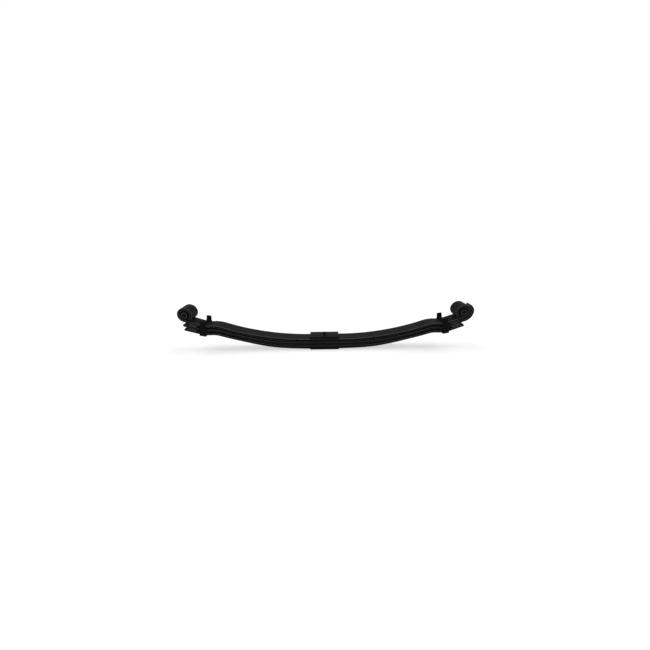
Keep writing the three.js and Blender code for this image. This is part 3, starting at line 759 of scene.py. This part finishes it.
for node in ("bottom_plate", "centre_spacer_lower", "centre_spacer_upper", "top_plate"):
    low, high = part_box(node)
    thick = high.z - low.z
    piece = seat_plate(node, min(PLATE_CHAMFER, thick / 4))
    under, over = low.z - DRILL_CLEAR, high.z + DRILL_CLEAR
    drill(piece, (CENTRE_HOLE, under, over, upright))
    if node == "top_plate":
        drill(piece, (SPOT_FACE, high.z - SPOT_FACE_DEPTH, over, upright))
    if node == "bottom_plate":
        drill(piece, (HEAD_RECESS, under, low.z + HEAD_DEPTH + TOUCH, upright))
    fit(piece, node, plate_paint)

# ---- Centre bolt ----
# An M14 bolt with a flat countersunk head, rolled thread, washer and nut. It holds the leaves in
# register before the U-bolts clamp them, and all of it is painted over with the rest.

CORNER_EASE = 0.0003
CORNER_CHAMFER = math.radians(30)
NUT_SINK = 0.0008
CREST_EDGE = 0.08
ROOT_EDGE = 0.42
FACE_SHARE = 0.95


def hexagon_side(flats, low, high, chamfers=(True, True)):
    """The outside of a hexagon as (radius, height) pairs, its corners chamfered at 30 degrees."""
    corner = flats / math.sqrt(3) - CORNER_EASE
    face = flats / 2 * FACE_SHARE
    rise = (corner - face) * math.tan(CORNER_CHAMFER)
    shares = [i / 6 for i in range(7)]
    start = [(face + (corner - face) * s, low + rise * s) for s in shares]
    end = [(face + (corner - face) * s, high - rise * s) for s in reversed(shares)]
    return (start if chamfers[0] else [(corner, low)]) + (end if chamfers[1] else [(corner, high)])


def nut(name, flats, bore, height):
    """A hexagon nut with both ends of its hole sunk."""
    mouth, face_below, face_above = bore + NUT_SINK, flats * 0.46, flats * 0.44
    profile = [(bore, height - NUT_SINK), (bore, NUT_SINK), (mouth, 0), (face_below, 0)]
    profile += hexagon_side(flats, CORNER_EASE, height)
    profile += [(face_above, height), (mouth, height)]
    return turned(name, profile, steps=96, flats=flats)


# A thread: a mesh turned about Z keeps only what lies inside a helical surface above its start.
thread, thread_in = new_tree(
    "rolled_thread",
    {
        "Blank": "Geometry",
        "Radius": "Float",
        "Pitch": "Float",
        "Depth": "Float",
        "Start": "Float",
        "Paint": "Material",
    },
)
spot = add(thread, "ShaderNodeSeparateXYZ", [add(thread, "GeometryNodeInputPosition")]).outputs
flat_spot = add(thread, "ShaderNodeCombineXYZ", [spot[0], spot[1]])
reach = vector_of(thread, "LENGTH", flat_spot)
angle = math_of(thread, "ARCTAN2", spot[1], spot[0])
turns = math_of(thread, "DIVIDE", angle, math.tau)
pitches = math_of(thread, "DIVIDE", spot[2], thread_in["Pitch"])
winding = math_of(thread, "SUBTRACT", pitches, turns)
within = math_of(thread, "FRACT", winding)
off_crest = math_of(thread, "SUBTRACT", within, 0.5)
flank = math_of(thread, "ABSOLUTE", off_crest)
groove = remap(thread, flank, CREST_EDGE, ROOT_EDGE, 0.0, thread_in["Depth"])
run_out = math_of(thread, "ADD", thread_in["Start"], thread_in["Pitch"])
deepening = remap(thread, spot[2], thread_in["Start"], run_out, 0.0, 1.0)
cut_depth = math_of(thread, "MULTIPLY", groove, deepening)
surface = math_of(thread, "SUBTRACT", thread_in["Radius"], cut_depth)
kept = math_of(thread, "MINIMUM", reach, surface)
some_reach = math_of(thread, "MAXIMUM", reach, SAME_PLACE)
shrink = math_of(thread, "DIVIDE", kept, some_reach)
on_thread = add(
    thread,
    "ShaderNodeCombineXYZ",
    [
        math_of(thread, "MULTIPLY", spot[0], shrink),
        math_of(thread, "MULTIPLY", spot[1], shrink),
        spot[2],
    ],
)
threaded = add(
    thread,
    "GeometryNodeSetPosition",
    {"Geometry": thread_in["Blank"], "Selection": deepening, "Position": on_thread},
)
end_tree(thread, threaded, thread_in["Paint"])


def threaded_end(radius, pitch, start, end):
    """The turned blank of a bolt's end: close rings from the thread's start to its bevelled tip."""
    bevel = pitch * 0.6
    count = math.ceil((end - bevel - start) / pitch * 8)
    rings = [(radius, start + (end - bevel - start) * i / count) for i in range(count + 1)]
    tip = [(radius - bevel * 0.85 * s, end - bevel * (1 - s)) for s in (0.25, 0.5, 0.75, 1)]
    return rings + tip + [(0, end)]


def roll_thread(piece, radius, pitch, start):
    values = {"Radius": radius, "Pitch": pitch, "Depth": pitch * 0.58, "Start": start}
    run_tree(piece, thread, {**values, "Paint": fastener_paint})


# Cold-headed bolts and pressed nuts are smooth; only the paint's own fine orange peel shows.
fastener_paint = chassis_paint("satin_paint_on_fasteners", dimple=0.002, height=0.00006)

bolt_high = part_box("centre_bolt")[1]
nut_low, nut_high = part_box("centre_nut")
washer_low, washer_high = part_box("centre_washer")
CENTRE_RADIUS = 0.007
CENTRE_PITCH = 0.002
CENTRE_FLATS = 0.022
HEAD_EASE = 0.0003
HEAD_RIM = 0.0004
head_radius = bolt_high.x
profile = [(0, 0), (head_radius - HEAD_EASE, 0), (head_radius, HEAD_RIM)]
profile += [(CENTRE_RADIUS, HEAD_DEPTH)]
thread_start = washer_high.z
profile += threaded_end(CENTRE_RADIUS, CENTRE_PITCH, thread_start, bolt_high.z)
piece = turned("centre_bolt_finished", profile)
roll_thread(piece, CENTRE_RADIUS, CENTRE_PITCH, thread_start)
fit(piece, "centre_bolt", fastener_paint, sharp=30)

WASHER_EASE = 0.0004
hole, rim = CENTRE_HOLE / 2, washer_high.x
low, high = washer_low.z, washer_high.z
profile = [
    (hole, low),
    (rim - WASHER_EASE, low),
    (rim, low + WASHER_EASE),
    (rim, high - WASHER_EASE),
    (rim - WASHER_EASE, high),
    (hole + WASHER_EASE, high),
    (hole, high - WASHER_EASE),
]
piece = turned("centre_washer_finished", profile)
fit(piece, "centre_washer", fastener_paint)

piece = nut(
    "centre_nut_finished", CENTRE_FLATS, CENTRE_RADIUS + TOUCH, nut_high.z - nut_low.z
)
piece.data.transform(Matrix.Translation((0, 0, nut_low.z)))
fit(piece, "centre_nut", fastener_paint)

# ---- Eye bushes ----
# A steel sleeve pressed into each eye, a longer and thicker one round the spring pin, and rubber
# bonded between them. The rubber twists as the leaf swings; the inner sleeve stays with its pin.

STAIN_WIDTH = 0.012
RING_PITCH = 0.001
RING_DEPTH = 0.00004
BLOOM_WIDTH = 0.009
SKIN_GRAIN = 0.0012
SKIN_DEPTH = 0.00008
RUBBER_GLOSS = 0.06


def turned_steel():
    """Turned steel under a thin coat: dull grey-black metal with fine rings from the lathe."""
    material, tree, shader, place = new_material("thinly_coated_turned_steel", Metallic=0.7)
    stain = grain(tree, place, STAIN_WIDTH, Detail=4.0)
    film = blend(tree, stain, "#101011", "#313234")
    gloss = spread(tree, stain, 0.34, 0.52)
    # The tool left a ring every 0.2 mm on each end face; they are drawn every 1 mm, so they show.
    spot = add(tree, "ShaderNodeSeparateXYZ", [place]).outputs
    off_eye = math_of(tree, "ABSOLUTE", spot[0])
    from_eye = math_of(tree, "SUBTRACT", off_eye, eye[RIGHT].x)
    above_eye = math_of(tree, "SUBTRACT", spot[2], eye[RIGHT].z)
    on_face = add(tree, "ShaderNodeCombineXYZ", [from_eye, 0.0, above_eye])
    out = vector_of(tree, "LENGTH", on_face)
    phase = math_of(tree, "MULTIPLY", out, math.tau / RING_PITCH)
    rings = math_of(tree, "SINE", phase)
    coat(tree, shader, film, gloss, rings, RING_DEPTH)
    return material


def moulded_rubber():
    """Moulded natural rubber: dull black with a grey bloom, and a fine skin from the mould."""
    material, tree, shader, place = new_material("moulded_rubber", Specular_IOR_Level=RUBBER_GLOSS)
    bloom = grain(tree, place, BLOOM_WIDTH, Detail=5.0)
    film = blend(tree, bloom, "#050505", "#131314")
    gloss = spread(tree, bloom, 0.6, 0.78)
    coat(tree, shader, film, gloss, grain(tree, place, SKIN_GRAIN), SKIN_DEPTH)
    return material


sleeve_steel = turned_steel()
bush_rubber = moulded_rubber()


def sleeve_profile(inside, outside, half, ease):
    """A tube's section with round corners, about the middle of its length."""
    corners = [(inside, -half), (outside, -half), (outside, half), (inside, half)]
    return [tuple(point) for point in round_corners(corners, ease)]


OUTER_WALL = 0.0025
OUTER_EASE = 0.0007
INNER_EASE = 0.0012
PIN_BORE = 0.022
RUBBER_LIP = 0.0038
RUBBER_GROOVE = 0.005
LIP_SHARE = 0.45


def rubber_profile(inside, outside, half):
    """Half-round grooves in both ends, and lips that climb the inner sleeve."""
    middle, reach = (inside + outside) / 2, (outside - inside) / 2
    end = []
    steps = 14
    for i in range(steps + 1):
        share = i / steps
        height = half - RUBBER_GROOVE * math.sin(math.pi * share) ** 0.8
        climb = RUBBER_LIP * max(0, 1 - share / LIP_SHARE) ** 1.6
        end.append((inside + 2 * reach * share, height + climb))
    return end + [(radius, -height) for radius, height in reversed(end)]


for side, word in SIDES.items():
    placing = Matrix.Translation(eye[side]) @ Matrix.Rotation(-math.pi / 2, 4, "X")
    outer_low, outer_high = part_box(f"{word}_bush_outer_sleeve")
    inner_low, inner_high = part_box(f"{word}_bush_inner_sleeve")
    outer_radius = (outer_high.z - outer_low.z) / 2
    inner_radius = (inner_high.z - inner_low.z) / 2
    for node, profile, material, slot, body in (
        (
            "bush_outer_sleeve",
            sleeve_profile(outer_radius - OUTER_WALL, outer_radius, outer_high.y, OUTER_EASE),
            sleeve_steel,
            "sleeve_steel",
            "spring",
        ),
        (
            "bush_rubber",
            rubber_profile(inner_radius + TOUCH, outer_radius - OUTER_WALL - TOUCH, outer_high.y),
            bush_rubber,
            "bush_rubber",
            "spring",
        ),
        (
            "bush_inner_sleeve",
            sleeve_profile(PIN_BORE / 2, inner_radius, inner_high.y, INNER_EASE),
            sleeve_steel,
            "sleeve_steel",
            f"{word}_pin_sleeve",
        ),
    ):
        piece = turned(f"{word}_{node}_finished", profile, steps=96)
        piece.data.transform(placing)
        fit(piece, f"{word}_{node}", material, body)

# ---- Clips ----
# A strap bent hot to a U round the leaves, riveted to the third one. A bolt in a spacer tube
# closes it above the main leaf, so that the leaves stay in line on the rebound.

STRAP_WIDTH = 0.04
STRAP_THICKNESS = 0.008
STRAP_EDGE = 0.0014
SIDE_CLEARANCE = 0.0015
ARM_HEIGHT = 0.035
ARM_TOP_WIDTH = 0.032
ARM_SHOULDER = 0.006
ARM_CORNER = 0.0035
CLIP_RADIUS = 0.005
CLIP_HOLE = 0.011
CLIP_PITCH = 0.0015
CLIP_FLATS = 0.016
CLIP_HEAD = 0.0064
CLIP_NUT = 0.0084
CLIP_BOLT_END = 0.004
HEAD_DISH = 0.0004
HEAD_DISH_RADIUS = 0.0042
HEAD_DISH_RIM = 0.0052
RUN_OUT = 0.001
TUBE_EASE = 0.0004
TUBE_RADIUS = 0.00675
TUBE_CLEARANCE = 0.00175
RIVET_RADIUS = 0.005
RIVET_HEAD = 0.0095
RIVET_DOME = 0.005
RIVET_FLARE_LENGTH = 0.004
strap_inside = leaf_width / 2 + SIDE_CLEARANCE
strap_outside = strap_inside + STRAP_THICKNESS

# Bending the strap hot leaves its skin lightly pitted; the pits are drawn large, so that they show.
strap_paint = chassis_paint("satin_paint_on_bent_strap", dimple=0.006, height=0.0005)


def section(half_width, half_thick, radius):
    """A strap's section: a rectangle with round edges."""
    w, t = half_width, half_thick
    return round_corners([(-w, -t), (w, -t), (w, t), (-w, t)], radius)


def strap_station(run):
    """The strap's middle and its outward direction, this far from the middle of its floor."""
    bend = SIDE_CLEARANCE + STRAP_THICKNESS / 2
    floor = leaf_width / 2
    floor_z = -TOUCH - STRAP_THICKNESS / 2
    side = 1 if run > 0 else -1
    run = abs(run)
    if run <= floor:
        return Vector((0, side * run, floor_z)), Vector((0, 0, -1))
    angle = min((run - floor) / bend, math.pi / 2)
    past = max(run - floor - bend * math.pi / 2, 0)
    outward = Vector((0, side * math.sin(angle), -math.cos(angle)))
    centre = Vector((0, side * floor, floor_z + bend))
    return centre + outward * bend + Vector((0, 0, past)), outward


def strap(name, stack):
    """The strap, as sections from one arm's top round under the leaves to the other's."""
    bend_length = (SIDE_CLEARANCE + STRAP_THICKNESS / 2) * math.pi / 2
    arm_start = leaf_width / 2 + bend_length
    base = SIDE_CLEARANCE - TOUCH
    shoulder = arm_start + stack - base
    top = shoulder + ARM_HEIGHT
    runs = [leaf_width / 2 * i / 4 for i in range(5)]
    runs += [leaf_width / 2 + bend_length * i / 8 for i in range(1, 9)]
    runs += [arm_start + (shoulder - arm_start) * i / 4 for i in range(1, 5)]
    runs += [shoulder + ARM_SHOULDER * i / 3 for i in range(1, 4)]
    corner_angles = [math.pi / 2 * i / 8 for i in range(9)]
    runs += [top - ARM_CORNER * (1 - math.sin(a)) for a in corner_angles[:-1]]
    half = []
    for run in runs:
        width = STRAP_WIDTH / 2
        if run > shoulder:
            share = min((run - shoulder) / ARM_SHOULDER, 1)
            width -= share * (STRAP_WIDTH - ARM_TOP_WIDTH) / 2
        inside_corner = run - (top - ARM_CORNER)
        if inside_corner > 0:
            width -= ARM_CORNER - math.sqrt(ARM_CORNER**2 - inside_corner**2)
        half.append((run, width, STRAP_THICKNESS / 2))
    edge = half[-1][1]
    for angle in (0.5, 1.0, 1.5):
        inset = STRAP_EDGE * (1 - math.cos(angle))
        run = top - STRAP_EDGE * (1 - math.sin(angle))
        half.append((run, edge - 1.6 * inset, STRAP_THICKNESS / 2 - inset))
    stations = [(-run, w, t) for run, w, t in reversed(half[1:])] + half
    rings = []
    for run, width, thick in stations:
        middle, outward = strap_station(run)
        radius = min(STRAP_EDGE, thick * 0.4)
        ring = [
            middle + Vector((point.x, 0, 0)) + outward * point.y
            for point in section(width, thick, radius)
        ]
        rings.append(ring)
    return skin(name, rings, capped=True)


for side, word in SIDES.items():
    bottom = depth_of_top(2, clip_arc, side) + thickness_at(clip_arc)
    stack = bottom - depth_of_top(0, clip_arc, side)
    clip_place = square_to_leaf(clip_arc, bottom, side)
    bolt_height = stack + TUBE_CLEARANCE + TUBE_RADIUS
    to_bolt = Matrix.Translation((0, 0, bolt_height)) @ Matrix.Rotation(-math.pi / 2, 4, "X")

    piece = strap(f"{word}_clip_strap_finished", stack)
    rivet_bar = (RIVET_HOLE, -DRILL_THROUGH, DRILL_CLEAR, upright)
    beyond = strap_outside + DRILL_CLEAR
    bolt_bar = (CLIP_HOLE, -beyond, beyond, to_bolt)
    drill(piece, rivet_bar, bolt_bar)
    piece.data.transform(clip_place)
    fit(piece, f"{word}_clip_strap", strap_paint)

    # The rivet: a dome forged under the strap, and a countersunk end flush with the third leaf.
    head_base = -2 * TOUCH - STRAP_THICKNESS
    dome = [math.pi / 2 * i / 8 for i in range(8, -1, -1)]
    profile = [(RIVET_HEAD * math.cos(a), head_base - RIVET_DOME * math.sin(a)) for a in dome]
    sink_top = END_THICKNESS - TOUCH
    profile += [(RIVET_RADIUS, head_base), (RIVET_RADIUS, sink_top - RIVET_FLARE_LENGTH)]
    profile += [(RIVET_RADIUS + RIVET_FLARE, sink_top), (0, sink_top)]
    piece = turned(f"{word}_clip_rivet_finished", profile, steps=48)
    piece.data.transform(clip_place)
    fit(piece, f"{word}_clip_rivet", fastener_paint)

    # The bolt's head is at the front, and its rolled thread shows past the nut at the back.
    head_face = -strap_outside - TOUCH
    nut_face = strap_outside + TOUCH
    head_top = head_face - CLIP_HEAD
    bolt_end = nut_face + CLIP_NUT + CLIP_BOLT_END
    thread_start = nut_face - RUN_OUT
    dish = head_top + HEAD_DISH
    profile = [(0, dish), (HEAD_DISH_RADIUS, dish), (HEAD_DISH_RIM, head_top)]
    profile += hexagon_side(CLIP_FLATS, head_top, head_face, (True, False))
    profile += [(CLIP_RADIUS, head_face)]
    profile += threaded_end(CLIP_RADIUS, CLIP_PITCH, thread_start, bolt_end)
    piece = turned(f"{word}_clip_bolt_finished", profile, steps=96, flats=CLIP_FLATS)
    roll_thread(piece, CLIP_RADIUS, CLIP_PITCH, thread_start)
    piece.data.transform(clip_place @ to_bolt)
    fit(piece, f"{word}_clip_bolt", fastener_paint, sharp=30)

    piece = nut(f"{word}_clip_nut_finished", CLIP_FLATS, CLIP_RADIUS + TOUCH, CLIP_NUT)
    piece.data.transform(clip_place @ to_bolt @ Matrix.Translation((0, 0, nut_face)))
    fit(piece, f"{word}_clip_nut", fastener_paint)

    tube = sleeve_profile(CLIP_HOLE / 2, TUBE_RADIUS, strap_inside - TOUCH, TUBE_EASE)
    piece = turned(f"{word}_clip_spacer_tube_finished", tube, steps=48)
    piece.data.transform(clip_place @ to_bolt)
    fit(piece, f"{word}_clip_spacer_tube", strap_paint)

# ---- Pads ----
# Moulded glass-filled polyamide blocks between the leaves' tips. They slide on the leaf above,
# and a spigot keeps each one in its hole in the leaf below.

PAD_LENGTH = 0.056
PAD_INSET = 0.005
PAD_EDGE = 0.0018
SPIGOT_RADIUS = 0.006
SPIGOT_LENGTH = 0.0125
SPIGOT_EASE = 0.0005
SPIGOT_ROOT = 0.002
FIBRE_WIDTH = 0.003
FIBRE_DEPTH = 0.00005


def moulded_polyamide():
    """Moulded polyamide with glass fibre: black, satin, and faintly mottled by the fibres."""
    material, tree, shader, place = new_material(
        "moulded_glass_filled_polyamide", Specular_IOR_Level=0.4
    )
    fibres = grain(tree, place, FIBRE_WIDTH, Detail=5.0, Distortion=1.5)
    film = blend(tree, fibres, "#0c0c0d", "#222324")
    coat(tree, shader, film, spread(tree, fibres, 0.42, 0.6), fibres, FIBRE_DEPTH)
    return material


pad_plastic = moulded_polyamide()


def pad(name, number, side):
    """The block under one leaf, its long faces following the leaves above and below."""
    half_width = leaf_width / 2 - PAD_INSET
    steps = [(-0.5 + i / 12, 0.0) for i in range(13)]
    ease = [math.pi / 2 * i / 3 for i in range(4)]
    share_of = PAD_EDGE / PAD_LENGTH
    inner = [(share, 0.0) for share, inset in steps if abs(share) < 0.5 - share_of * 1.5]
    start = [
        (-0.5 + share_of * (1 - math.cos(a)), PAD_EDGE * (1 - math.sin(a))) for a in ease
    ]
    end = [(-share, inset) for share, inset in reversed(start)]
    rings = []
    for share, inset in start + inner + end:
        arc = pad_arc + PAD_LENGTH * share
        top = depth_of_top(number, arc, side) + thickness_at(arc) + TOUCH
        bottom = depth_of_top(number + 1, arc, side) - TOUCH
        place = square_to_leaf(arc, (top + bottom) / 2, side)
        half = (bottom - top) / 2 - inset
        loop = section(half_width - inset, half, PAD_EDGE - inset * 0.6)
        rings.append([place @ Vector((0, point.x, point.y)) for point in loop])
    block = skin(name, rings, capped=True)
    end = -SPIGOT_LENGTH
    spigot = [(0, end), (SPIGOT_RADIUS - SPIGOT_EASE, end), (SPIGOT_RADIUS, end + SPIGOT_EASE)]
    spigot += [(SPIGOT_RADIUS, SPIGOT_ROOT), (0, SPIGOT_ROOT)]
    peg = turned("peg", spigot, steps=40)
    peg.data.transform(square_to_leaf(pad_arc, depth_of_top(number + 1, pad_arc, side), side))
    joining = block.modifiers.new("peg", "BOOLEAN")
    joining.operation = "UNION"
    joining.solver = "EXACT"
    joining.object = peg
    bake(block)
    bpy.data.objects.remove(peg)
    return block


for side, word in SIDES.items():
    for number, level in enumerate(("upper", "lower")):
        piece = pad(f"{word}_{level}_pad_finished", number, side)
        fit(piece, f"{word}_{level}_pad", pad_plastic)

# ---- Floor, light and camera ----
# A white floor, two broad soft lamps overhead that lean in from the left and the right, and even
# light all round. The camera stands close, a little over the spring, as one stands at a workbench.

floor_mesh = bpy.data.meshes.new("floor")
FLOOR_HALF = 30.0
FLOOR_DROP = 0.0003
corners = [(-1, -1), (1, -1), (1, 1), (-1, 1)]
floor_mesh.from_pydata(
    [(x * FLOOR_HALF, y * FLOOR_HALF, -FLOOR_DROP) for x, y in corners], [], [(0, 1, 2, 3)]
)
floor = new_piece("floor", floor_mesh)
floor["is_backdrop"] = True

WHITE = 1.0
LAMP_STRENGTH = 1.12
LAMP_SPREAD = math.radians(40)
LAMP_LEAN = math.radians(35)
LAMP_BACK = math.radians(8)
LIGHT_ALL_ROUND = 0.3
FLOOR_LIFT = 0.62


def shown_white(tree):
    """One for the rays that see the background: the camera's, and those through gloss and glass."""
    path = add(tree, "ShaderNodeLightPath").outputs
    seen = math_of(tree, "ADD", path["Is Camera Ray"], path["Is Glossy Ray"])
    return add(
        tree, "ShaderNodeMath", [seen, path["Is Transmission Ray"]], use_clamp=True
    )


floor_paint = bpy.data.materials.new("white_backdrop_paper")
floor_paint.use_nodes = True
tree = floor_paint.node_tree
tree.nodes.remove(tree.nodes["Principled BSDF"])
paper = add(tree, "ShaderNodeBsdfDiffuse", {"Color": from_hex("#bcbcbc")})
lift = math_of(tree, "MULTIPLY", shown_white(tree), FLOOR_LIFT)
lifted = add(tree, "ShaderNodeEmission", {"Color": from_hex("#ffffff"), "Strength": lift})
both = add(tree, "ShaderNodeAddShader", [paper, lifted])
tree.links.new(both.outputs[0], tree.nodes["Material Output"].inputs["Surface"])
floor_mesh.materials.append(floor_paint)

world = bpy.data.worlds.new("studio")
bpy.context.scene.world = world
world.use_nodes = True
tree = world.node_tree
level = remap(tree, shown_white(tree), 0.0, 1.0, LIGHT_ALL_ROUND, WHITE)
tree.links.new(level.outputs[0], tree.nodes["Background"].inputs["Strength"])
tree.nodes["Background"].inputs["Color"].default_value = (1, 1, 1, 1)

for name, lean in (("left_softbox", LEFT), ("right_softbox", RIGHT)):
    lamp = bpy.data.lights.new(name, "SUN")
    lamp.energy = LAMP_STRENGTH
    lamp.angle = LAMP_SPREAD
    holder = bpy.data.objects.new(name, lamp)
    holder.rotation_euler = (-LAMP_BACK, LAMP_LEAN * lean, 0)
    bpy.context.scene.collection.objects.link(holder)

SENSOR = 36.0
LENS = 14.4095
AIM = (0.00518, 0, 0.16184)
DISTANCE = 1.75105
TILT = math.radians(90 - 22.736)
ROLL = math.radians(-0.693)
camera_data = bpy.data.cameras.new("camera")
camera_data.sensor_width = SENSOR
camera_data.lens = LENS
camera = bpy.data.objects.new("camera", camera_data)
bpy.context.scene.collection.objects.link(camera)
back = Matrix.Translation((0, 0, DISTANCE)) @ Matrix.Rotation(ROLL, 4, "Z")
camera.matrix_world = Matrix.Translation(AIM) @ Matrix.Rotation(TILT, 4, "X") @ back
bpy.context.scene.camera = camera
bpy.context.scene.view_settings.view_transform = "Standard"

low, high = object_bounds()
